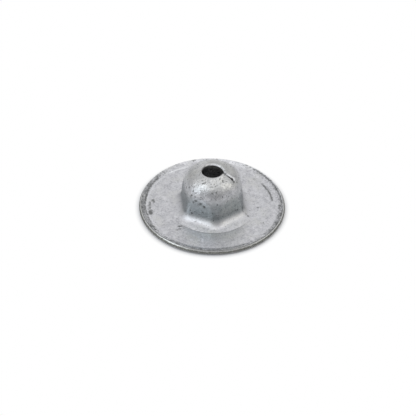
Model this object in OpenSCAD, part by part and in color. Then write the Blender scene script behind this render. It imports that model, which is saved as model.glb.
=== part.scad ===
// Retaining nut pressed from one sheet of steel.
// A hexagonal cap stands on a wide round flange with a turned-up rim.
// The crown has a hole with one slit beside it, and its edge climbs one turn, so that it bites on a stud.
// The seat lies on z = 0, the axis is Z, and the slit points along +X.

/* [Flange] */
// Diameter over the flange
flange_d = 24; // [20:0.5:30]
// Thickness of the sheet
sheet_t = 0.7; // [0.55:0.05:0.85]
// Width of the rim that turns up round the flange
rim_w = 1.25; // [1:0.05:1.6]
// Angle that the rim turns up by, in degrees
rim_angle = 32; // [20:1:40]
// Rounding of the rim's upper edge
edge_r = 0.1; // [0.05:0.01:0.15]

/* [Foot of the cap] */
// Width of the raised foot outside the corners' fillets
foot_w = 0.2; // [0:0.1:0.6]
// Slope of the raised foot, in degrees
foot_slope = 13; // [8:1:17]
// Fillet between the foot and the walls
foot_r = 1.5; // [0.8:0.1:1.8]

/* [Hexagonal cap] */
// Distance across the flats at the foot
hex_af = 9.8; // [8:0.1:12]
// Radius of the upright corners
corner_r = 1.5; // [1.2:0.1:2]
// Angle between the slit and the nearest corner, in degrees
hex_turn = 0; // [-30:7.5:30]
// Height of the crown over the seat
cap_h = 8; // [6.5:0.1:10]
// Draft of the walls, in degrees
draft = 2.5; // [1:0.5:4]
// Radius of the shoulder between the walls and the crown
shoulder_r = 2.7; // [1.8:0.1:3.2]
// Height of the stretch under the crown in which the hexagon turns round
blend_h = 5.6; // [3.5:0.1:6.5]

/* [Thread lip] */
// Diameter of the hole, which is the root of the stud's thread
hole_d = 3.7; // [3:0.1:4.4]
// Climb of the lip from one side of the slit round to the other
lip_rise = 0.85; // [0.3:0.05:1]
// Thickness of the lip at the hole
lip_t = 0.6; // [0.5:0.05:0.65]
// How closely the climb keeps to the hole, as a power of the way from the slit's end
lip_fade = 2.5; // [1.5:0.1:3]
// Width of the slit
slit_w = 0.3; // [0.28:0.02:0.4]
// Distance from the slit's end to the flats
slit_gap = 1.4; // [1.2:0.1:1.8]
// Diameter of the relief hole at the slit's end
relief_d = 0.5; // [0.45:0.05:0.7]
// Rounding of the lip's low corner
low_corner_r = 2; // [0.5:0.1:2.2]

/* [Hidden] */

// Points round the cap, a multiple of six
around = 96;
// Steps along each rounded stretch of a section
fillet_steps = 5;
shoulder_steps = 9;
wall_steps = 5;
foot_steps = 3;
rim_steps = 10;
edge_steps = 4;
corner_steps = 8;
// The foot's skirt runs on inside the flange, and the flange a little way under the foot
skirt_w = 0.5;
underlap = 0.2;
underlap_slant = 0.2;
skirt_bend = 0.15;
skirt_lift = 0.25;
// Level land kept between the shoulder and the hole
land = 0.1;
// Straight stretch of the slit kept between the low corner's rounding and the slit's end
slit_straight = 0.1;
// How far the sheet reaches into the hole before the hole is cut
hole_stock = 0.3;
// How far the cutters stand out of the crown, above and below
cut_over = 3;

half = hex_af / 2;
hole_r = hole_d / 2;
corner_c = (half - corner_r) / cos(30);
crease_r = corner_c + corner_r + foot_r + foot_w;
foot_z = sheet_t + (crease_r - half) * tan(foot_slope);
// The shoulder is limited by the level land that the hole needs
shoulder_room = half - hole_r - land - (cap_h - foot_z) * tan(draft);
shoulder = min(shoulder_r, shoulder_room * cos(draft) / (1 - sin(draft)));
shoulder_z = cap_h - shoulder;
shoulder_h = half - (shoulder + (shoulder_z - foot_z) * sin(draft)) / cos(draft);
rim_bend_r = rim_w / sin(rim_angle) - sheet_t;
rim_start_r = flange_d / 2 - rim_w;
slit_reach = half - slit_gap;
// The low corner's rounding is limited by the slit's length
low_room = pow(slit_reach - slit_straight, 2) + pow(slit_w / 2, 2) - pow(hole_r, 2);
low_corner = min(low_corner_r, low_room / (2 * hole_r - slit_w));

// Unit vector at an angle over the horizontal
function along(angle) = [cos(angle), sin(angle)];

// Rises smoothly from 0 to 1 while x does
function ease(x) = let (s = min(max(x, 0), 1)) s * s * (3 - 2 * s);

// Polar radius of a rounded hexagon: h is the distance to a flat, c that of a corner's centre
function reach(angle, h, c) =
    let (
        psi = abs((angle - hex_turn + 390) % 60 - 30),
        r = h - c * cos(30),
        arc_end = atan2(r / 2, c + r * cos(30))
    )
    psi <= arc_end ? c * cos(psi) + sqrt(r * r - pow(c * sin(psi), 2)) : h / cos(30 - psi);

// Distance of the corners' centres at a height: the hexagon turns into a circle under the crown
function centre_at(z) = corner_c * (1 - ease((z - cap_h + blend) / blend));

// Height of the foot's sloping face where the distance to the axis is h
function slope_z(h, depth) = sheet_t + (crease_r - h) * tan(foot_slope) - depth / cos(foot_slope);

// A station is [distance to a flat, height, distance of the corners' centres, share of the foot's slope].
// Each group below gives the stations of the skin that lies depth under the outer face.
function skirt(depth) = [
    [crease_r + skirt_w, depth > 0 ? skirt_lift : slope_z(crease_r + skirt_w, 0), 0, 0],
    [crease_r - skirt_bend, slope_z(crease_r - skirt_bend, depth), 0, 0]
];

fillet_c = [half, foot_z] + foot_r / cos(draft + foot_slope)
    * [cos(foot_slope) - sin(draft), cos(draft) - sin(foot_slope)];

function foot(depth) =
    let (
        start = crease_r - skirt_bend,
        end = (fillet_c - (foot_r + depth) * along(90 - foot_slope))[0]
    )
    [for (k = [1 : foot_steps - 1])
        let (s = k / foot_steps, h = start + (end - start) * s)
        [h, slope_z(h, depth), corner_c * s, 1]];

function fillet(depth) = [for (k = [0 : fillet_steps])
    let (
        s = k / fillet_steps,
        angle = 90 - foot_slope + (draft - 90 + foot_slope) * s,
        p = fillet_c - (foot_r + depth) * along(angle)
    )
    [p[0], p[1], corner_c, 1 - ease(s)]];

wall_start = fillet_c - foot_r * along(draft);
blend = min(blend_h, cap_h - wall_start[1]);
wall_end = [shoulder_h, shoulder_z] + shoulder * along(draft);

function wall(depth) = [for (k = [1 : wall_steps - 1])
    let (
        outer = wall_start + (wall_end - wall_start) * k / wall_steps,
        p = outer - depth * along(draft)
    )
    [p[0], p[1], centre_at(outer[1]), 0]];

function shoulder_arc(depth) = [for (k = [0 : shoulder_steps])
    let (
        angle = draft + (90 - draft) * k / shoulder_steps,
        outer_z = shoulder_z + shoulder * sin(angle),
        p = [shoulder_h, shoulder_z] + (shoulder - depth) * along(angle)
    )
    [p[0], p[1], centre_at(outer_z), 0]];

function crown(depth) = [for (h = [hole_r + land / 2, hole_r - hole_stock]) [h, cap_h - depth, 0, 0]];

function skin(depth) = concat(
    skirt(depth), foot(depth), fillet(depth), wall(depth), shoulder_arc(depth), crown(depth));

// The lip climbs and thins towards the hole: how much of that there is at a distance from the axis
function lip_share(r) = pow(min(max((slit_reach - r) / (slit_reach - hole_r), 0), 1), lip_fade);

// One closed ring of points at a station
function ring(station, depth) = [for (k = [0 : around - 1])
    let (
        turn = (k + 0.5) / around,
        r = reach(360 * turn, station[0], station[2]),
        fall = station[3] * (r - station[0]) * tan(foot_slope),
        climb = lip_rise * (turn - 0.5) + (sheet_t - lip_t) * depth / sheet_t
    )
    [r * cos(360 * turn), r * sin(360 * turn), station[1] - fall + climb * lip_share(r)]];

// The cap is one sheet lofted through rings, up the outside and back down the inside
module cap() {
    outside = skin(0);
    inside = skin(sheet_t);
    last = len(inside) - 1;
    rings = concat(
        [for (s = outside) ring(s, 0)],
        [for (k = [0 : last]) ring(inside[last - k], sheet_t)]
    );
    count = len(rings);
    points = [for (loop = rings) each loop];
    function at(i, k) = (i % count) * around + k % around;
    faces = [for (i = [0 : count - 1], k = [0 : around - 1]) each [
        [at(i, k), at(i + 1, k), at(i + 1, k + 1)],
        [at(i, k), at(i + 1, k + 1), at(i, k + 1)]
    ]];
    polyhedron(points, faces, convexity = 6);
}

// The flange is turned round the axis: level seat, then a rim bent up on one radius
module flange() {
    bend_c = [rim_start_r, sheet_t + rim_bend_r];
    edge_way = along(rim_angle);
    edge_top = bend_c + rim_bend_r * along(rim_angle - 90);
    edge_c = edge_top - edge_r * edge_way - edge_r * along(rim_angle + 90);
    under = [for (k = [0 : rim_steps])
        bend_c + (rim_bend_r + sheet_t) * along(rim_angle * k / rim_steps - 90)];
    edge = [for (k = [0 : edge_steps])
        edge_c + edge_r * along(rim_angle + 90 * k / edge_steps)];
    over = [for (k = [1 : rim_steps])
        bend_c + rim_bend_r * along(rim_angle * (1 - k / rim_steps) - 90)];
    inner_r = crease_r - underlap;
    inner_top_r = inner_r - underlap_slant;
    rotate_extrude($fn = 144)
        polygon(concat([[inner_r, 0]], under, edge, over, [[inner_top_r, sheet_t]]));
}

// Plan of the slit, its relief hole and the low corner's rounding
module slit_plan() {
    centre_y = slit_w / 2 + low_corner;
    centre_x = sqrt(pow(hole_r + low_corner, 2) - centre_y * centre_y);
    first = 180 + atan2(centre_y, centre_x);
    translate([0, -slit_w / 2]) square([slit_reach, slit_w]);
    translate([slit_reach, 0]) circle(d = relief_d, $fn = 48);
    polygon(concat(
        [[0, 0], (hole_r - hole_stock) * along(first - 180)],
        [for (k = [1 : corner_steps - 1])
            [centre_x, centre_y] + low_corner * along(first + (270 - first) * k / corner_steps)],
        [[centre_x, 0]]
    ));
}

module pressed_nut() {
    color([0.71, 0.72, 0.73]) difference() {
        union() {
            flange();
            cap();
        }
        translate([0, 0, cap_h - cut_over]) cylinder(h = 2 * cut_over, r = hole_r, $fn = 96);
        translate([0, 0, cap_h - cut_over]) linear_extrude(height = 2 * cut_over) slit_plan();
    }
}

pressed_nut();
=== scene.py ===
"""Heat shield retainer nut pressed from one sheet of zinc-plated steel, on a pale studio floor.

The nut is one surface on a grid. Rows follow the section from the cut edge of the rim up to the hole,
columns follow the turn from one side of the slit round to the other, and layers go through the sheet.
"""
import math

import bpy
import numpy as np
from mathutils import Matrix, Vector


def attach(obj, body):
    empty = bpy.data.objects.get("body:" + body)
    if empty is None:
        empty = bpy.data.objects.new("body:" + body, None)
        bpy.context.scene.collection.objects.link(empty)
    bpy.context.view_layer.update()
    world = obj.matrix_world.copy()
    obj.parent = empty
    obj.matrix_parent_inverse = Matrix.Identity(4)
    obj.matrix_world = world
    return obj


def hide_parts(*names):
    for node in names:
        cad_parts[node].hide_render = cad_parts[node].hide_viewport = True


MM = 0.001

# Flange, in millimetres as every size of the nut below
FLANGE_R = 12.0
SHEET = 0.7
RIM_W = 1.25
RIM_TILT = math.radians(32)

# Raised foot of the cap
FOOT_W = 0.2
FOOT_SLOPE = math.radians(13)
FOOT_R = 1.5
CREASE_BEND = 0.35

# Hexagonal cap
HALF_FLATS = 4.9
CORNER_R = 1.5
CAP_H = 8.0
DRAFT = math.radians(2.5)
SHOULDER_R = 2.7
BLEND_H = 5.6

# Thread lip and slit
HOLE_R = 1.85
LIP_RISE = 0.85
LIP_T = 0.6
LIP_FADE = 2.5
SLIT_HALF = 0.15
SLIT_REACH = 3.5
RELIEF_R = 0.25
LOW_CORNER_R = 2.0

# Rounding of the edges that the punch left, on the upper and the lower side, and the deepest dent
RIM_ROUND = 0.07
LIP_ROUND = 0.18
UNDER_ROUND = 0.04
DENT_LIMIT = 0.06

# Derived places of the section
CORNER_C = (HALF_FLATS - CORNER_R) / math.cos(math.pi / 6)
CREASE_R = CORNER_C + CORNER_R + FOOT_R + FOOT_W
FOOT_Z = SHEET + (CREASE_R - HALF_FLATS) * math.tan(FOOT_SLOPE)
SHOULDER_Z = CAP_H - SHOULDER_R
SHOULDER_H = HALF_FLATS - (SHOULDER_R + (SHOULDER_Z - FOOT_Z) * math.sin(DRAFT)) / math.cos(DRAFT)
RIM_BEND_R = RIM_W / math.sin(RIM_TILT) - SHEET
RIM_START_R = FLANGE_R - RIM_W
# Angle from the low corner's centre to where the corner meets the slit's side
STRAIGHT_DOWN = 1.5 * math.pi

# Rows beside the rim's cut edge, as distances from it, and the number of rows on each other stretch
RIM_ROWS = np.array([0, 0.008, 0.02, 0.036, 0.055, 0.075, 0.1, 0.14, 0.2, 0.28, 0.38, 0.5, 0.62, 0.74, 0.86])
FLANGE_ROWS = 25
CREASE_ROWS = 5
FOOT_ROWS = 8
FILLET_ROWS = 10
WALL_ROWS = 12
SHOULDER_ROWS = 14
RELIEF_ROWS = 11
SLIT_ROWS = 10
LOW_CORNER_ROWS = 11
# Steps of the table that finds the shoulder's angle at a distance from the axis
SHOULDER_STEPS = 2000
# Share of the foot's width over which its rows come to follow its slope all round
FOOT_TURN = 1 / 3

# Columns beside each side of the slit, in degrees from it, and the even ones between them
CLOSE_COLUMNS = np.array([0, 0.2, 0.5, 0.9, 1.4, 2.0, 2.8, 3.8, 5.0])
EVEN_START = 6.3
EVEN_COLUMNS = 249

# Layers through the sheet, as shares of its thickness
LAYERS = np.array([0.0, 0.16, 0.34, 0.52, 0.7, 0.86, 1.0])

# Marks of use and painted shade: azimuth in degrees, distance from the axis and height in millimetres, size,
# and strength.
# A distance or height of 0 is worked out from the other, on the outer face.
STAINS_AND_SHADE = [
    # Flange, left and front
    (-163, 9.76, 0, 0.34, 0.85), (-160, 9.6, 0, 0.25, 0.6), (-144, 10.37, 0, 0.42, 0.8),
    (-147, 9.85, 0, 0.3, 0.6), (-148, 7.5, 0, 0.2, 0.4), (-112, 7.71, 0, 0.2, 0.9), (-110, 7.4, 0, 0.2, 0.9),
    (-109, 8.26, 0, 0.16, 0.7), (-107, 8.05, 0, 0.2, 0.8), (-109, 8.6, 0, 0.2, 0.7),
    # Flange, right
    (67, 9.7, 0, 0.3, 0.6), (28, 9.53, 0, 0.25, 0.5), (20, 10.85, 0, 0.22, 0.5), (19, 7.53, 0, 0.2, 0.8),
    (-4, 9.46, 0, 0.2, 0.8), (-15, 10.14, 0, 0.15, 0.4),
    # Rim
    (-159, 11.66, 0.89, 0.22, 0.8), (-152, 11.66, 0.9, 0.22, 0.8), (-127, 11.4, 0.83, 0.3, 0.8),
    (-123, 11.35, 0.81, 0.25, 0.6), (-103, 11.67, 0.89, 0.25, 0.7), (-97, 11.5, 0.88, 0.2, 0.6),
    (158, 11.09, 0.74, 0.2, 0.5), (141, 11.9, 1.08, 0.3, 0.8), (128, 11.6, 0.92, 0.3, 0.7),
    (83, 11.62, 0.92, 0.25, 0.6), (23, 11.1, 0.74, 0.22, 0.5), (11, 11.72, 0.93, 0.35, 0.7),
    (-1, 11.74, 0.95, 0.3, 0.7), (-9, 11.8, 0.97, 0.3, 0.6),
    # Foot: the first three are painted shade by the cap's corner at azimuth 0
    (0, 5.44, 1.98, 0.34, 0.6), (-1, 6.1, 1.06, 0.2, 0.6), (-2, 6.5, 0.85, 0.22, 0.8),
    (-73, 6.39, 0, 0.14, 0.5), (-64, 6.54, 0, 0.14, 0.5),
    # Crown
    (-4, 3.84, 0, 0.22, 1.0), (3, 4.19, 0, 0.2, 0.8), (-32, 2.84, 0, 0.24, 0.9), (-98, 3.25, 0, 0.2, 0.85),
    (-91, 3.0, 0, 0.2, 0.85),
    # Shoulder and walls
    (21, 0, 6.86, 0.2, 0.8), (-60, 0, 6.93, 0.2, 0.75), (-60, 0, 5.9, 0.16, 0.5), (-67, 0, 6.85, 0.2, 0.6),
    (-83.5, 0, 4.22, 0.25, 1.0), (-91, 0, 4.54, 0.29, 1.0), (-96, 0, 4.2, 0.2, 0.6),
    (-101, 0, 4.9, 0.26, 1.0), (-112, 0, 5.64, 0.22, 0.9), (-112, 0, 6.4, 0.2, 0.85),
    (-122, 0, 6.9, 0.2, 0.5), (-126, 0, 6.58, 0.18, 0.7), (-133, 0, 6.04, 0.2, 0.8),
]
# Dents are told in the same way, with a depth instead of a strength
DENTS = [
    (-91, 0, 4.54, 0.3, 0.05), (-84, 0, 4.44, 0.26, 0.05), (-100, 0, 4.99, 0.26, 0.04),
    (-33, 2.9, 0, 0.3, 0.05), (-6, 3.89, 0, 0.2, 0.04), (3, 4.19, 0, 0.2, 0.04), (-67, 0, 6.85, 0.24, 0.04),
    (-112, 0, 6.43, 0.24, 0.03), (-110, 7.57, 0, 0.35, 0.04), (-4, 9.47, 0, 0.3, 0.03),
    (-98, 3.21, 0, 0.2, 0.03), (-164, 9.78, 0, 0.5, 0.03),
]

# Dark lines round the flange and the rim, partly marks of use and partly painted shade along the rim's
# bends and back edge: azimuth from and to, distance from the axis at both ends, width, strength
DARK_STREAKS_AND_SHADE = [
    (31, 57, 10.0, 9.96, 0.24, 0.72), (27, 76, 11.38, 11.42, 0.1, 0.5), (166, 197, 11.15, 10.93, 0.2, 0.3),
    (201, 214, 10.28, 10.4, 0.32, 0.62), (190, 226, 11.0, 10.9, 0.12, 0.3),
    (62, 172, 11.98, 11.98, 0.1, 0.6),
]
# Painted highlight lines on the flange and the rim, near its bends, told in the same way
HIGHLIGHT_LINES = [
    (125, 235, 10.67, 10.67, 0.1, 0.5), (135, 153, 10.42, 10.6, 0.12, 0.8), (34, 68, 11.74, 11.66, 0.1, 1.1),
    (84, 97, 10.95, 11.05, 0.25, 0.5), (66, 76, 10.5, 10.55, 0.2, 0.45),
]

# Painted shade on the turned-up rim, lightest at the back: azimuth in degrees and strength, and the distance
# and length of its start
RIM_SHADE = [
    (-180, 0.5), (-158, 0.52), (-147, 0.47), (-125, 0.4), (-90, 0.38), (-67, 0.35), (-40, 0.35), (-18, 0.4),
    (0, 0.5), (15, 0.48), (35, 0.3), (60, 0.3), (75, 0.25), (95, 0.1), (125, 0.1), (150, 0.15), (165, 0.38),
    (180, 0.5),
]
RIM_SHADE_START = (RIM_START_R, 0.35)

# Painted shade in the foot's crease: its width, the middle of the side that has it, and how it fades from
# there
CREASE_SHADE_WIDTH = 0.09
CREASE_SHADE_TURN = math.radians(-68)
CREASE_SHADE_SPREAD = 1.4
CREASE_SHADE_LOSS = 0.5

# Lip's low side: the turn at which it starts to end, and how much turn that takes, in radians. Then the
# width of the painted highlight along its edge, and the power of the lip's share by which its face gets
# painted shade and more roughness.
LOW_SIDE_END = (1.9, 0.8)
LIP_HIGHLIGHT_WIDTH = 0.2
LIP_SHADE_FADE = 0.5

# Zones of the finish: the height or distance where each starts or ends, and the length that this takes
DRAWN_START = (SHEET, 1.5)
DRAWN_RIM = (RIM_START_R, 0.6)
DRAWN_RIM_SHARE = 0.6
FOOT_START = (0.75, 0.3)
FOOT_END = (1.7, 0.8)
# The wall zone darkens the cap's walls: darker drawn zinc and painted shade
WALL_SHADE_START = (1.3, 0.9)
WALL_SHADE_END = (4.1, 2.0)
CROWN_START = (6.2, 1.4)
# Darker plating and painted shade inside the cap ease in over this length from the crease
INSIDE_SHADE_FADE = 1.5

# Grains of the zinc: size in millimetres, octaves, and the noise that gives none of it and all of it
GRAINS = {
    "mottle": (0.9, 6, 0.34, 0.66),
    "grit": (0.3, 4, 0.36, 0.64),
    "warmth": (2.6, 3, 0.5, 0.7),
    "fleck": (0.24, 3, 0.6, 0.68),
    "pit": (0.5, 4, 0.61, 0.68),
    "cloud": (1.1, 4, 0.42, 0.58),
    "smear": (0.35, 5, 0.3, 0.7),
    "peel": (0.7, 3, 0.3, 0.7),
}
GRAIN_ROUGHNESS = 0.6
# Drawing marks are a grain drawn out up the cap
SCORE_GRAIN = (0.22, 2, 0.5, 0.75)
SCORE_STRETCH = (1.0, 0.45, 0.25)
# Speckles: their share on the flat sheet, and how much more there is where it was drawn over the punch
SPECKLE_FLAT = 0.3
SPECKLE_DRAWN = 0.5
# Share of its grain that the foot lacks, which is smoother than the rest
FOOT_CALM = 0.65
# How ragged the smear's grain makes the stains and painted shade, and the sum of both that starts them and
# fills them
STAIN_RAGGED = 0.7
STAIN_RANGE = (0.57, 1.07)

# Zinc's own dark and pale grey, and the finishes over them in turn: name of the share, amount, and colour.
# Some are painted shade and painted highlight, as marked.
ZINC_DARK = (0.485, 0.485, 0.505, 1)
ZINC_PALE = (0.865, 0.865, 0.88, 1)
COATS = [
    ("warmth", 0.48, (0.69, 0.69, 0.65, 1)),
    # Cap's walls: darker drawn zinc and painted shade
    ("wall", 0.83, (0.27, 0.305, 0.315, 1)),
    ("crown", 0.45, (0.57, 0.57, 0.53, 1)),
    ("cloud", 0.4, (0.45, 0.46, 0.47, 1)),
    ("scoring", 0.4, (0.3, 0.3, 0.28, 1)),
    # Painted shade on the lip's low side
    ("lip_shade", 0.8, (0.4, 0.4, 0.38, 1)),
    # Painted highlight
    ("painted_highlight", 0.9, (0.93, 0.935, 0.95, 1)),
    # Painted shade in the foot's crease
    ("crease", 0.55, (0.2, 0.21, 0.21, 1)),
    ("speckle", 1.0, (0.1, 0.1, 0.1, 1)),
    # Stains, with the painted shade that shares their mask
    ("stain_and_shade", 0.85, (0.13, 0.135, 0.13, 1)),
    # Inside the cap: darker plating and painted shade
    ("inside", 1.0, (0.38, 0.38, 0.38, 1)),
]
# Roughness of the zinc, and what each finish adds to it
ZINC_ROUGH = 0.48
ROUGHENED = [("bloom", -0.26), ("lip_shade", 0.15), ("foot", 0.11), ("speckle", 0.3), ("painted_highlight", -0.12)]
# A painted highlight is less metallic, so it stays pale whatever it faces
HIGHLIGHT_METAL = -0.8
# Relief of the zinc: the drawn sheet's peel beside the mottle, and the bump's strength and depth
PEEL_RELIEF = 2.4
ZINC_BUMP = (0.5, 0.03)

# Cut edge: the grain that makes the torn band's start ragged, the grain of the bands, and how far the first
# one moves that start. Depths are shares of the sheet's thickness.
EDGE_RAGGED = (0.5, 4, 0.3, 0.7)
EDGE_TEAR = (0.14, 3, 0.35, 0.65)
RAGGED_DEPTH = -0.25
# Depths over which the rolled lip under the face ends and the torn band starts, and the bands' colours. The
# rolled lip's dark grey is painted shade.
ROLLED_SHADE_RANGE = (0.1, 0.2)
TORN_RANGE = (0.3, 0.42)
ROLLED_SHADE = (0.3, 0.3, 0.29, 1)
BURNISHED = ((0.6, 0.605, 0.59, 1), (0.8, 0.8, 0.78, 1))
TORN = ((0.13, 0.13, 0.12, 1), (0.36, 0.36, 0.33, 1))
# Roughness of the burnished band, what the torn one adds to it, and the bump's strength and depth
BURNISHED_ROUGH = 0.38
TORN_ROUGHER = 0.25
EDGE_BUMP = (0.7, 0.04)

# Camera: where it stands, seen from the nut, with its distance in millimetres
CAMERA_TURN = math.radians(-68)
CAMERA_TILT = math.radians(40.4)
CAMERA_ROLL = math.radians(1.4)
CAMERA_FAR = 1600.0
# Its picture: the side, half the flange's width and the flange's centre in pixels, then the sensor's
# width in millimetres and the nearest depth in metres
PICTURE_PX = 416
HALF_FLANGE_PX = 73.0
PX_PER_MM = HALF_FLANGE_PX / FLANGE_R
CENTRE_PX = (212.1, 205.1)
SENSOR = 36.0
CLIP_START = 0.01

# Floor: half its side in metres, its colour, and the distances from the axis in millimetres between which
# the nut's shadow gives way to an even white. Metal sees only this share of the white.
FLOOR_HALF = 2.0
FLOOR_COLOUR = (0.7, 0.7, 0.71, 1)
SHADOW_RING = (11.6, 12.9)
GLOSSY_FLOOR = 0.2

# Room's light: its colour, its strength at the horizon, what the ceiling adds and its power, what is lost
# behind the camera, and what is added behind the nut and its power
ROOM_COLOUR = (0.975, 0.98, 1.0, 1)
ROOM_LOW = 0.55
ROOM_TOP = 0.58
ROOM_POWER = 3.0
FRONT_DIM = 0.42
BACK_LIFT = 0.9
BACK_POWER = 14.0
# Softboxes, in metres: their distance from the nut, and each one's azimuth from the camera's right and
# elevation in degrees, width and height, radiance, and colour
LAMP_FAR = 0.5
SOFTBOXES = {
    "left_softbox": (-150, 36, (0.25, 0.56), 1.58, (0.88, 0.95, 1.0)),
    "right_softbox": (-10, 42, (0.22, 0.4), 0.8, (1.0, 0.98, 0.88)),
    "ceiling_softbox": (-80, 74, (0.34, 0.3), 0.25, (1.0, 1.0, 1.0)),
}


def ease(x):
    """Rises smoothly from 0 to 1 while x does: x squared times (3 - 2 x)."""
    s = np.clip(x, 0, 1)
    return s * s * (3 - 2 * s)


def risen(values, start):
    """Share that eases from 0 at a zone's start to 1 at the end of the length that goes with it."""
    place, length = start
    return ease((values - place) / length)


def bell(distance, width):
    """Falls from 1 where there is no distance: e to the minus of the distance over the width, squared."""
    return np.exp(-((distance / width) ** 2))


def between(first, last, count):
    """Evenly spaced values between two others."""
    return np.linspace(first, last, count + 2)[1:-1]


def lip_share(r):
    """How much of the lip's climb there is at a distance from the axis.

    It is a power of the way from the slit's end to the hole.
    """
    return np.clip((SLIT_REACH - r) / (SLIT_REACH - HOLE_R), 0, 1) ** LIP_FADE


def reach(turn, h, c):
    """Polar radius of a rounded hexagon whose flats lie h and whose corners' centres lie c from the axis.

    Near a corner it is the ray's length to a circle of radius h - c cos 30 round the corner's centre,
    elsewhere h over the cosine of the angle from the middle of the flat.
    """
    sixth = math.pi / 3
    off_corner = np.abs((turn + sixth / 2) % sixth - sixth / 2)
    r = h - c * math.cos(sixth / 2)
    arc_end = np.arctan2(r / 2, c + r * math.cos(sixth / 2))
    on_arc = c * np.cos(off_corner) + np.sqrt(np.maximum(r * r - (c * np.sin(off_corner)) ** 2, 0))
    return np.where(off_corner <= arc_end, on_arc, h / np.cos(sixth / 2 - off_corner))


def centre_at(z):
    """Distance of the corners' centres at a height: it eases to nothing over the stretch under the crown."""
    return CORNER_C * (1 - ease((z - CAP_H + BLEND_H) / BLEND_H))


def low_corner():
    """Centre of the low lip's rounded corner, and the angle from it to where the corner meets the hole."""
    y = SLIT_HALF + LOW_CORNER_R
    x = math.sqrt((HOLE_R + LOW_CORNER_R) ** 2 - y**2)
    return x, y, math.pi + math.atan2(y, x)


def slit_outline():
    """Right and left sides of the slit from its far end to the hole, as polar radius and two turns.

    Each side follows the relief hole and is straight from there. On the right, the low lip's corner is an
    arc that touches both the straight side and the hole.
    """
    meets_slit = math.pi - math.asin(SLIT_HALF / RELIEF_R)
    angle = np.linspace(0, meets_slit, RELIEF_ROWS)
    relief_x, relief_y = SLIT_REACH + RELIEF_R * np.cos(angle), RELIEF_R * np.sin(angle)
    centre_x, centre_y, meets_hole = low_corner()
    straight_x = np.linspace(relief_x[-1], centre_x, SLIT_ROWS + 1)[1:]
    straight_y = np.full(SLIT_ROWS, SLIT_HALF)
    angle = np.linspace(STRAIGHT_DOWN, meets_hole, LOW_CORNER_ROWS + 1)[1:]
    x = np.concatenate([relief_x, straight_x, centre_x + LOW_CORNER_R * np.cos(angle)])
    y = np.concatenate([relief_y, straight_y, centre_y + LOW_CORNER_R * np.sin(angle)])
    radius = np.hypot(x, y)
    right = np.arctan2(y, x)
    left = np.arcsin(np.minimum(y, SLIT_HALF) / radius)
    left[:RELIEF_ROWS] = right[:RELIEF_ROWS]
    return radius, right, left


def section():
    """Rows of the section from the rim's edge to the hole, and where and how far the slit opens them.

    Each row is distance to a flat, height, distance of the corners' centres, share of the foot's slope, and
    the outward normal. The rim, the crease, the fillet and the shoulder are arcs, and the rest is straight.
    """
    rows = []

    def add(h, z, c, share, nh, nz):
        """Adds rows, where a single number holds for all of them."""
        rows.append(np.stack(np.broadcast_arrays(h, z, c, share, nh, nz), axis=1).astype(float))

    # Rim: an arc whose centre is over the flange
    angle = np.append(RIM_TILT - RIM_ROWS / RIM_BEND_R, 0)
    add(RIM_START_R + RIM_BEND_R * np.sin(angle), SHEET + RIM_BEND_R * (1 - np.cos(angle)), 0, 0,
        -np.sin(angle), np.cos(angle))
    # Flange
    tangent = CREASE_BEND * math.tan(FOOT_SLOPE / 2)
    add(between(RIM_START_R, CREASE_R + tangent, FLANGE_ROWS), SHEET, 0, 0, 0, 1)
    # Crease
    angle = np.linspace(0, FOOT_SLOPE, CREASE_ROWS)
    add(CREASE_R + tangent - CREASE_BEND * np.sin(angle), SHEET + CREASE_BEND * (1 - np.cos(angle)), 0, 0,
        np.sin(angle), np.cos(angle))
    # Foot
    aside = np.array([math.cos(FOOT_SLOPE) - math.sin(DRAFT), math.cos(DRAFT) - math.sin(FOOT_SLOPE)])
    fillet_c = np.array([HALF_FLATS, FOOT_Z]) + FOOT_R / math.cos(DRAFT + FOOT_SLOPE) * aside
    fillet_start = fillet_c[0] - FOOT_R * math.sin(FOOT_SLOPE)
    along = between(0, 1, FOOT_ROWS)
    h = CREASE_R - tangent + (fillet_start - CREASE_R + tangent) * along
    add(h, SHEET + (CREASE_R - h) * math.tan(FOOT_SLOPE), CORNER_C * along, ease(along / FOOT_TURN),
        math.sin(FOOT_SLOPE), math.cos(FOOT_SLOPE))
    # Fillet
    along = np.linspace(0, 1, FILLET_ROWS)
    angle = math.pi / 2 - FOOT_SLOPE + (DRAFT - math.pi / 2 + FOOT_SLOPE) * along
    add(fillet_c[0] - FOOT_R * np.cos(angle), fillet_c[1] - FOOT_R * np.sin(angle), CORNER_C,
        1 - ease(along), np.cos(angle), np.sin(angle))
    # Wall
    start = fillet_c - FOOT_R * np.array([math.cos(DRAFT), math.sin(DRAFT)])
    end_h, end_z = SHOULDER_H + SHOULDER_R * math.cos(DRAFT), SHOULDER_Z + SHOULDER_R * math.sin(DRAFT)
    z = between(start[1], end_z, WALL_ROWS)
    add(between(start[0], end_h, WALL_ROWS), z, centre_at(z), 0, math.cos(DRAFT), math.sin(DRAFT))
    # Shoulder: rows meet the slit's outline where there is one
    fine_angle = np.linspace(DRAFT, math.pi / 2, SHOULDER_STEPS)
    fine_z = SHOULDER_Z + SHOULDER_R * np.sin(fine_angle)
    fine_r = reach(0, SHOULDER_H + SHOULDER_R * np.cos(fine_angle), centre_at(fine_z))
    slit_r, right, left = slit_outline()
    on_shoulder = slit_r > fine_r[-1]
    opened = np.interp(-slit_r[on_shoulder], -fine_r, fine_angle)
    closed = np.linspace(DRAFT, opened[0], SHOULDER_ROWS + 1)[:-1]
    first_open = sum(len(r) for r in rows) + SHOULDER_ROWS
    angle = np.concatenate([closed, opened])
    z = SHOULDER_Z + SHOULDER_R * np.sin(angle)
    add(SHOULDER_H + SHOULDER_R * np.cos(angle), z, centre_at(z), 0, np.cos(angle), np.sin(angle))
    # Crown
    add(slit_r[~on_shoulder], CAP_H, 0, 0, 0, 1)
    return np.concatenate(rows), first_open, right, left


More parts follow.
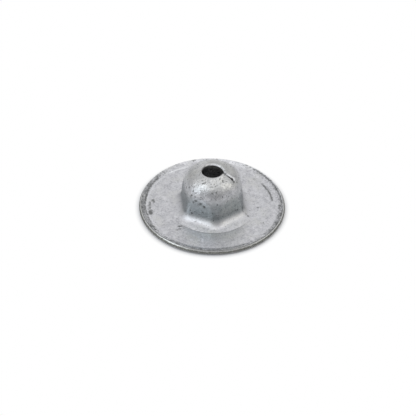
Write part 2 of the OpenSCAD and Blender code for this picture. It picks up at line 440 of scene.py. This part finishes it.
def columns():
    """Shares of the turn from 0 to 1, close together beside the slit and even elsewhere."""
    even = np.linspace(EVEN_START, 360 - EVEN_START, EVEN_COLUMNS)
    return np.concatenate([CLOSE_COLUMNS, even, 360 - CLOSE_COLUMNS[::-1]]) / 360


def slit_distance(x, y):
    """Distance in plan to the hole and the slit: the least of a circle's, a strip's and the relief hole's.

    Where the low corner faces, it is also at most the distance to that corner's arc, from inside.
    """
    strip = np.maximum.reduce([np.abs(y) - SLIT_HALF, x - SLIT_REACH, -x])
    relief = np.hypot(x - SLIT_REACH, y) - RELIEF_R
    distance = np.minimum.reduce([np.hypot(x, y) - HOLE_R, strip, relief])
    centre_x, centre_y, meets_hole = low_corner()
    way = np.arctan2(y - centre_y, x - centre_x) % (2 * math.pi)
    in_corner = (way > meets_hole) & (way < STRAIGHT_DOWN) & (x > 0) & (y > 0)
    corner = LOW_CORNER_R - np.hypot(x - centre_x, y - centre_y)
    return np.maximum(np.where(in_corner, np.minimum(distance, corner), distance), 0)


def round_drop(distance, radius):
    """How far a rounded edge lies under the face, at a distance from the edge: a quarter circle."""
    s = np.clip(radius - distance, 0, radius)
    return radius - np.sqrt(radius**2 - s**2)


def sheet_points():
    """Every point of the grid, by rows, columns and layers, its finish, and the first row the slit opens.

    The rounded edges move both skins into the sheet, and the dents only the outer one. A point then lies
    between the two skins by its layer's share.
    """
    rows, first_open, right, left = section()
    share = columns()
    h, z, c, slope, nh, nz = rows.T[..., None]
    right_turn, left_turn = np.zeros(len(rows)), np.zeros(len(rows))
    right_turn[first_open:], left_turn[first_open:] = right, left
    top_r = reach(0, h, c)[:, 0]
    right_half = top_r * np.sin(right_turn)
    left_half = top_r * np.sin(left_turn)

    def skin(depth):
        """One side of the sheet: rows moved in by depth along their normals, then turned round the axis.

        The slit keeps its width through the sheet, and the lip's climb grows evenly with the turn.
        """
        row_h = h - nh * depth
        row_z = z - nz * depth
        slit_r = reach(0, row_h, c)[:, 0]
        first = np.arcsin(right_half / slit_r)
        last = 2 * math.pi - np.arcsin(left_half / slit_r)
        turn = first[:, None] + share[None, :] * (last - first)[:, None]
        r = reach(turn, row_h, c)
        fall = slope * (r - row_h) * math.tan(FOOT_SLOPE)
        climb = LIP_RISE * (turn / (2 * math.pi) - 0.5) + (SHEET - LIP_T) * depth / SHEET
        return np.stack([r * np.cos(turn), r * np.sin(turn), row_z - fall + climb * lip_share(r)], axis=-1)

    top, under = skin(0.0), skin(SHEET)
    through = under - top
    through /= np.linalg.norm(through, axis=-1)[..., None]
    to_slit = slit_distance(top[..., 0], top[..., 1])
    to_rim = np.hypot(h - h[0], z - z[0]) + 0 * share[None, :]
    drop = round_drop(to_slit, LIP_ROUND) + round_drop(to_rim, RIM_ROUND)
    rise = round_drop(to_slit, UNDER_ROUND) + round_drop(to_rim, UNDER_ROUND)
    marks_and_painted_light = use_and_painted_light(top, to_slit)
    top = top + through * (drop + np.minimum(marks(top, DENTS), DENT_LIMIT))[..., None]
    under = under - through * rise[..., None]
    depth = LAYERS[None, None, :, None]
    points = top[:, :, None, :] * (1 - depth) + under[:, :, None, :] * depth
    # What the outer face carries, marks of use and painted light alike, fades out through the sheet
    finish = {name: values[:, :, None] * (1 - LAYERS) for name, values in marks_and_painted_light.items()}
    finish.update(zones(points))
    return points, finish, first_open


def on_nut(azimuth, radius, height):
    """Place on the outer face at an azimuth: a missing height or distance comes from the section's lines."""
    if height == 0:
        slope = SHEET + max(CREASE_R - radius, 0) * math.tan(FOOT_SLOPE)
        arc = SHOULDER_Z + math.sqrt(max(SHOULDER_R**2 - max(radius - SHOULDER_H, 0) ** 2, 0))
        height = arc if radius < SHOULDER_H + SHOULDER_R * math.cos(DRAFT) else slope
    turn = math.radians(azimuth)
    if radius == 0:
        wall = HALF_FLATS - (height - FOOT_Z) * math.tan(DRAFT)
        arc = SHOULDER_H + math.sqrt(max(SHOULDER_R**2 - max(height - SHOULDER_Z, 0) ** 2, 0))
        h = min(wall, arc) if height > SHOULDER_Z else wall
        radius = float(reach(turn, h, centre_at(height)))
    return np.array([radius * math.cos(turn), radius * math.sin(turn), height])


def marks(points, places):
    """Sum of soft round marks at points: each is its strength times the bell of the distance to it."""
    total = np.zeros(points.shape[:-1])
    for azimuth, radius, height, size, strength in places:
        away = np.linalg.norm(points - on_nut(azimuth, radius, height), axis=-1)
        total += strength * bell(away, size)
    return total


def streaks(radius, turn, places):
    """Sum of soft curved lines on the flange, at distances and azimuths round the axis.

    Each line runs evenly from one azimuth and distance to the next. It is its strength times the bell of
    the distance to it.
    """
    total = np.zeros(radius.shape)
    for first, last, first_r, last_r, width, strength in places:
        # Degrees past the line's start, from a quarter turn before it
        way = (np.degrees(turn) - first + 90) % 360 - 90
        beyond = np.maximum(np.maximum(-way, way - (last - first)), 0)
        aside = radius - first_r - (last_r - first_r) * np.clip(way / (last - first), 0, 1)
        away = np.hypot(aside, np.radians(beyond) * radius)
        total += strength * bell(away, width) * (radius > CREASE_R)
    return total


def use_and_painted_light(points, to_slit):
    """Marks of use on the outer face, and painted shade and painted highlights where the punch shaped it.

    The rim's painted shade starts where the rim does and follows a table over the azimuth. The crease's
    painted shade is the bell of the distance to it, on the side round one azimuth. The lip's low side has
    painted shade and a rougher face, with a painted highlight along its edge.
    """
    radius = np.hypot(points[..., 0], points[..., 1])
    turn = np.arctan2(points[..., 1], points[..., 0])
    # Painted shade on the turned-up rim, by a table over the azimuth, lightest at the back
    azimuth, strength = np.array(RIM_SHADE).T
    rim_shade = np.interp(np.degrees(turn), azimuth, strength) * risen(radius, RIM_SHADE_START)
    # Stains, with painted shade on the rim, at the cap's corner and along some lines
    dirt_and_shade = marks(points, STAINS_AND_SHADE) + rim_shade + streaks(radius, turn, DARK_STREAKS_AND_SHADE)
    # Painted shade in the crease, only on the side round one azimuth
    crease_shade_side = ease(CREASE_SHADE_SPREAD * np.cos(turn - CREASE_SHADE_TURN) - CREASE_SHADE_LOSS)
    low_side = 1 - risen(turn % (2 * math.pi), LOW_SIDE_END)
    # Painted highlight along the low lip's edge
    lip_highlight = bell(to_slit, LIP_HIGHLIGHT_WIDTH) * low_side
    return {
        "dirt_and_shade": np.minimum(dirt_and_shade, 1),
        "crease": bell(radius - CREASE_R, CREASE_SHADE_WIDTH) * crease_shade_side,
        # Painted highlights: lines near the rim's bends, and along the low lip's edge
        "painted_highlight": np.maximum(streaks(radius, turn, HIGHLIGHT_LINES), lip_highlight),
        # Painted shade and more roughness on the lip's low side
        "lip_shade": lip_share(radius) ** LIP_SHADE_FADE * low_side * (radius < SLIT_REACH),
    }


def zones(points):
    """Shares of the finishes that go by place: through the sheet, inside, up the cap and out on the rim.

    Depth is the layer's share of the sheet, and inside is the square of that, eased in from the crease;
    inside carries darker plating and painted shade. The others ease in from their start, and out from their
    end where they have one. The wall share is darker drawn zinc and painted shade on the cap's walls.
    """
    radius = np.hypot(points[..., 0], points[..., 1])
    height = points[..., 2]
    return {
        "depth": LAYERS + 0 * radius,
        # Darker plating and painted shade inside the cap
        "inside": LAYERS**2 * ease((CREASE_R - radius) / INSIDE_SHADE_FADE),
        "drawn": risen(height, DRAWN_START) + DRAWN_RIM_SHARE * risen(radius, DRAWN_RIM),
        "foot": risen(height, FOOT_START) * (1 - risen(height, FOOT_END)),
        # Darker drawn zinc and painted shade on the cap's walls
        "wall": risen(height, WALL_SHADE_START) * (1 - risen(height, WALL_SHADE_END)),
        "crown": risen(height, CROWN_START),
    }


def quads(grid, flip):
    """Four-cornered faces of a two-way grid of vertex numbers."""
    a, b, c, d = grid[:-1, :-1], grid[1:, :-1], grid[1:, 1:], grid[:-1, 1:]
    corners = [a, d, c, b] if flip else [a, b, c, d]
    return np.stack(corners, axis=-1).reshape(-1, 4)


def make_nut():
    """The nut's mesh: both skins, the rim's cut edge, the hole's edge and the two sides of the slit."""
    points, finish, first_open = sheet_points()
    count = points.shape[:3]
    number = np.arange(np.prod(count)).reshape(count)
    # The first and last columns are one line outside the slit
    number[: first_open + 1, -1] = number[: first_open + 1, 0]
    plated, cut = 0, 1
    groups = [
        (quads(number[:, :, 0], True), plated),
        (quads(number[:, :, -1], False), plated),
        (quads(number[0], False), cut),
        (quads(number[-1], True), cut),
        (quads(number[first_open:, 0], True), cut),
        (quads(number[first_open:, -1], False), cut),
    ]
    faces = np.concatenate([g for g, _ in groups])
    kind = np.concatenate([np.full(len(g), k) for g, k in groups])
    used, packed = np.unique(faces, return_inverse=True)
    # Two corners with the same number leave a face with three
    loops = [list(dict.fromkeys(f)) for f in packed.reshape(faces.shape).tolist()]
    mesh = bpy.data.meshes.new("nut_skin")
    mesh.from_pydata((points.reshape(-1, 3)[used] * MM).tolist(), [], loops)
    mesh.update()
    mesh.polygons.foreach_set("material_index", kind.astype(np.int32))
    for name, values in finish.items():
        attribute = mesh.attributes.new(name, "FLOAT", "POINT")
        attribute.data.foreach_set("value", values.reshape(-1)[used].astype(np.float32))
    mesh.shade_smooth()
    mesh.materials.append(zinc_plate())
    mesh.materials.append(sheared_edge())
    nut = bpy.data.objects.new("nut_skin", mesh)
    bpy.context.scene.collection.objects.link(nut)
    return nut


def add_node(tree, kind, values=None, **settings):
    """Adds a node with its settings, and gives its sockets a constant or another node's output."""
    node = tree.nodes.new("ShaderNode" + kind)
    for name, value in settings.items():
        setattr(node, name, value)
    for socket, value in (values or {}).items():
        fill(tree, node.inputs[socket], value)
    return node


def fill(tree, socket, value):
    """Gives a socket a constant or another node's output."""
    if isinstance(value, bpy.types.NodeSocket):
        tree.links.new(value, socket)
    else:
        socket.default_value = value


def new_material(name):
    """An empty material, its tree and its output node."""
    material = bpy.data.materials.new(name)
    material.use_nodes = True
    tree = material.node_tree
    tree.nodes.clear()
    return material, tree, tree.nodes.new("ShaderNodeOutputMaterial")


def arithmetic(tree, operation, first, second, third=0.0):
    """Result of one operation on two or three numbers or outputs."""
    return add_node(tree, "Math", {0: first, 1: second, 2: third}, operation=operation).outputs[0]


def stretch(tree, value, low, high, **settings):
    """Value stretched so that low gives 0 and high gives 1, and held at those beyond them."""
    spread = add_node(tree, "MapRange", {"Value": value, "From Min": low, "From Max": high}, **settings)
    return spread.outputs["Result"]


def grain(tree, place, size, detail, low, high):
    """Noise with features about size millimetres wide, stretched so that low gives 0 and high gives 1."""
    noise = add_node(tree, "TexNoise", {
        "Vector": place, "Scale": 1 / (size * MM), "Detail": detail, "Roughness": GRAIN_ROUGHNESS})
    return stretch(tree, noise.outputs["Fac"], low, high)


def painted(tree, name):
    """Share of a finish, as the mesh carries it at its points."""
    return add_node(tree, "Attribute", attribute_name=name).outputs["Fac"]


def blend(tree, share, first, second):
    """Colour that goes from the first to the second while share goes from 0 to 1."""
    mix = tree.nodes.new("ShaderNodeMix")
    mix.data_type = "RGBA"
    # The colour sockets share their names with the node's other kinds, so they go by number
    for number, value in ((0, share), (6, first), (7, second)):
        fill(tree, mix.inputs[number], value)
    return mix.outputs[2]


def metal_shader(tree, out, colour, metallic, rough, relief, bump):
    """Metal surface of a material, with a relief whose bump has a strength and a depth in millimetres."""
    strength, depth = bump
    raised = add_node(tree, "Bump", {"Strength": strength, "Distance": depth * MM, "Height": relief})
    shader = add_node(tree, "BsdfPrincipled", {
        "Base Color": colour, "Metallic": metallic, "Roughness": rough, "Normal": raised.outputs["Normal"]})
    tree.links.new(shader.outputs[0], out.inputs["Surface"])


def zinc_plate():
    """Dull zinc plate: cool and warm patches, fine dark speckles, stains of use, painted shade and
    highlights.
    """
    material, tree, out = new_material("dull_zinc_plate")
    place = add_node(tree, "TexCoord").outputs["Object"]
    on_mesh = ("dirt_and_shade", "crease", "painted_highlight", "lip_shade", "inside", "drawn", "foot", "wall", "crown")
    share = {name: painted(tree, name) for name in on_mesh}
    for name, sizes in GRAINS.items():
        share[name] = grain(tree, place, *sizes)
    # Speckles are denser, and clouds are only, where the sheet was drawn over the punch
    denser = arithmetic(tree, "MULTIPLY_ADD", share["drawn"], SPECKLE_DRAWN, SPECKLE_FLAT)
    specks = arithmetic(tree, "MAXIMUM", share["fleck"], share["pit"])
    share["speckle"] = arithmetic(tree, "MULTIPLY", specks, denser)
    share["cloud"] = arithmetic(tree, "MULTIPLY", share["cloud"], share["drawn"])
    drawn_out = add_node(tree, "VectorMath", {0: place, 1: SCORE_STRETCH}, operation="MULTIPLY").outputs[0]
    share["scoring"] = arithmetic(tree, "MULTIPLY", grain(tree, drawn_out, *SCORE_GRAIN), share["crown"])
    # Stains and painted shade get one ragged edge
    ragged = arithmetic(tree, "MULTIPLY_ADD", share["smear"], STAIN_RAGGED, share["dirt_and_shade"])
    share["stain_and_shade"] = stretch(tree, ragged, *STAIN_RANGE)
    # The bloom is half grit and half mottle, drawn in to its middle on the foot
    half_mottle = arithmetic(tree, "MULTIPLY", share["mottle"], 0.5)
    bloom = arithmetic(tree, "MULTIPLY_ADD", share["grit"], 0.5, half_mottle)
    calm = arithmetic(tree, "MULTIPLY_ADD", share["foot"], -FOOT_CALM, 1.0)
    from_middle = arithmetic(tree, "SUBTRACT", bloom, 0.5)
    share["bloom"] = arithmetic(tree, "MULTIPLY_ADD", from_middle, calm, 0.5)
    colour = blend(tree, share["bloom"], ZINC_DARK, ZINC_PALE)
    for name, amount, tint in COATS:
        colour = blend(tree, arithmetic(tree, "MULTIPLY", share[name], amount), colour, tint)
    rough = ZINC_ROUGH
    for name, amount in ROUGHENED:
        rough = arithmetic(tree, "MULTIPLY_ADD", share[name], amount, rough)
    metallic = arithmetic(tree, "MULTIPLY_ADD", share["painted_highlight"], HIGHLIGHT_METAL, 1.0)
    # The drawn sheet has a coarse skin like an orange's
    peel = arithmetic(tree, "MULTIPLY", share["peel"], share["drawn"])
    fine = arithmetic(tree, "SUBTRACT", share["mottle"], share["speckle"])
    uneven = arithmetic(tree, "MULTIPLY_ADD", peel, PEEL_RELIEF, fine)
    relief = arithmetic(tree, "MULTIPLY", uneven, calm)
    metal_shader(tree, out, colour, metallic, rough, relief, ZINC_BUMP)
    return material


def sheared_edge():
    """Cut edge of the sheet: a rolled lip in painted shade, a burnished band under it, and a dark torn band
    below.
    """
    material, tree, out = new_material("sheared_edge")
    place = add_node(tree, "TexCoord").outputs["Object"]
    depth = painted(tree, "depth")
    tear = grain(tree, place, *EDGE_TEAR)
    ragged_depth = arithmetic(tree, "MULTIPLY_ADD", grain(tree, place, *EDGE_RAGGED), RAGGED_DEPTH, depth)
    torn = stretch(tree, ragged_depth, *TORN_RANGE)
    # The rolled lip at the top is painted shade
    upper = blend(tree, stretch(tree, depth, *ROLLED_SHADE_RANGE), ROLLED_SHADE, blend(tree, tear, *BURNISHED))
    colour = blend(tree, torn, upper, blend(tree, tear, *TORN))
    rough = arithmetic(tree, "MULTIPLY_ADD", torn, TORN_ROUGHER, BURNISHED_ROUGH)
    relief = arithmetic(tree, "MULTIPLY", torn, tear)
    metal_shader(tree, out, colour, 1.0, rough, relief, EDGE_BUMP)
    return material


def make_floor():
    """Pale floor that keeps the nut's shadow close to it and glows evenly white farther out."""
    mesh = bpy.data.meshes.new("studio_floor")
    corners = [(x * FLOOR_HALF, y * FLOOR_HALF, 0) for x, y in ((-1, -1), (1, -1), (1, 1), (-1, 1))]
    mesh.from_pydata(corners, [], [(0, 1, 2, 3)])
    floor = bpy.data.objects.new("studio_floor", mesh)
    bpy.context.scene.collection.objects.link(floor)
    material, tree, out = new_material("pale_floor")
    place = add_node(tree, "TexCoord").outputs["Object"]
    length = add_node(tree, "VectorMath", {0: place}, operation="LENGTH").outputs["Value"]
    shadow_start, shadow_end = SHADOW_RING
    ring = stretch(tree, length, shadow_start * MM, shadow_end * MM, interpolation_type="SMOOTHSTEP")
    path = add_node(tree, "LightPath").outputs
    seen = arithmetic(tree, "MULTIPLY_ADD", path["Is Glossy Ray"], GLOSSY_FLOOR, path["Is Camera Ray"])
    share = arithmetic(tree, "MULTIPLY", seen, ring)
    diffuse = add_node(tree, "BsdfDiffuse", {"Color": FLOOR_COLOUR})
    glow = add_node(tree, "Emission", {"Strength": 1.0})
    mix = add_node(tree, "MixShader", {0: share, 1: diffuse.outputs[0], 2: glow.outputs[0]})
    tree.links.new(mix.outputs[0], out.inputs["Surface"])
    mesh.materials.append(material)


def direction(turn, tilt):
    """Unit vector at a turn round the nut's axis and a tilt over the horizontal."""
    return Vector((math.cos(tilt) * math.cos(turn), math.cos(tilt) * math.sin(turn), math.sin(tilt)))


def make_camera():
    """Camera on its ray from the nut, moved sideways so that the flange's centre falls on its pixel."""
    toward = direction(CAMERA_TURN, CAMERA_TILT)
    level_right = direction(CAMERA_TURN + math.pi / 2, 0)
    level_up = toward.cross(level_right)
    right = level_right * math.cos(CAMERA_ROLL) + level_up * math.sin(CAMERA_ROLL)
    up = toward.cross(right)
    aside = (CENTRE_PX[0] - PICTURE_PX / 2) / PX_PER_MM
    above = (PICTURE_PX / 2 - CENTRE_PX[1]) / PX_PER_MM
    target = Vector((0, 0, SHEET)) - right * aside - up * above
    place = (target + toward * CAMERA_FAR) * MM
    data = bpy.data.cameras.new("camera")
    data.sensor_width = SENSOR
    data.lens = SENSOR * CAMERA_FAR / (PICTURE_PX / PX_PER_MM)
    data.clip_start = CLIP_START
    camera = bpy.data.objects.new("camera", data)
    turn = Matrix((right, up, toward)).transposed().to_4x4()
    camera.matrix_world = Matrix.Translation(place) @ turn
    bpy.context.scene.collection.objects.link(camera)
    bpy.context.scene.camera = camera


def softbox(name, azimuth, elevation, size, radiance, colour):
    """Lamp that faces the nut, as wide and high as size says. Its azimuth counts from the camera's right."""
    way = direction(math.radians(azimuth) + CAMERA_TURN + math.pi / 2, math.radians(elevation))
    data = bpy.data.lights.new(name, "AREA")
    data.shape = "RECTANGLE"
    data.size, data.size_y = size
    data.energy = radiance * math.pi * size[0] * size[1]
    data.color = colour
    lamp = bpy.data.objects.new(name, data)
    facing = way.to_track_quat("Z", "Y").to_matrix().to_4x4()
    lamp.matrix_world = Matrix.Translation(way * LAMP_FAR) @ facing
    bpy.context.scene.collection.objects.link(lamp)


def make_light():
    """Softboxes in a room that is brighter overhead and low behind the nut, and dimmer behind the camera.

    The camera itself sees it evenly white.
    """
    world = bpy.data.worlds.new("studio")
    bpy.context.scene.world = world
    world.use_nodes = True
    tree = world.node_tree
    tree.nodes.clear()
    way = add_node(tree, "TexCoord").outputs["Generated"]
    height = add_node(tree, "SeparateXYZ", {"Vector": way}).outputs["Z"]
    top = arithmetic(tree, "POWER", arithmetic(tree, "MAXIMUM", height, 0.0), ROOM_POWER)
    strength = arithmetic(tree, "MULTIPLY_ADD", top, ROOM_TOP, ROOM_LOW)
    front = {0: way, 1: tuple(direction(CAMERA_TURN, 0))}
    facing = add_node(tree, "VectorMath", front, operation="DOT_PRODUCT").outputs["Value"]
    behind_camera = arithmetic(tree, "MAXIMUM", facing, 0.0)
    dimmed = arithmetic(tree, "MULTIPLY_ADD", behind_camera, -FRONT_DIM, 1.0)
    strength = arithmetic(tree, "MULTIPLY", strength, dimmed)
    behind_nut = arithmetic(tree, "MAXIMUM", arithmetic(tree, "MULTIPLY", facing, -1.0), 0.0)
    lift = arithmetic(tree, "POWER", behind_nut, BACK_POWER)
    strength = arithmetic(tree, "MULTIPLY_ADD", lift, BACK_LIFT, strength)
    room = add_node(tree, "Background", {"Color": ROOM_COLOUR, "Strength": strength})
    white = add_node(tree, "Background", {"Color": (1, 1, 1, 1), "Strength": 1.0})
    to_camera = add_node(tree, "LightPath").outputs["Is Camera Ray"]
    mix = add_node(tree, "MixShader", {0: to_camera, 1: room.outputs[0], 2: white.outputs[0]})
    out = add_node(tree, "OutputWorld")
    tree.links.new(mix.outputs[0], out.inputs["Surface"])
    for name, lamp in SOFTBOXES.items():
        softbox(name, *lamp)


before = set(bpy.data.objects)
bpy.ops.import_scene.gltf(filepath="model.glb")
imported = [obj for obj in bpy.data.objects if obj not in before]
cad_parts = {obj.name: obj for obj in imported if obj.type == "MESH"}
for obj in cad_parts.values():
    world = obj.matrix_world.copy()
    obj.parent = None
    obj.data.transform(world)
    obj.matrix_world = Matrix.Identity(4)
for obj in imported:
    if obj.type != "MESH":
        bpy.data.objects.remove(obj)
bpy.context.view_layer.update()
nut = make_nut()
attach(nut, "root")
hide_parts("pressed_nut")
make_floor()
make_camera()
make_light()
bpy.context.scene.view_settings.view_transform = "Standard"
bpy.context.view_layer.update()
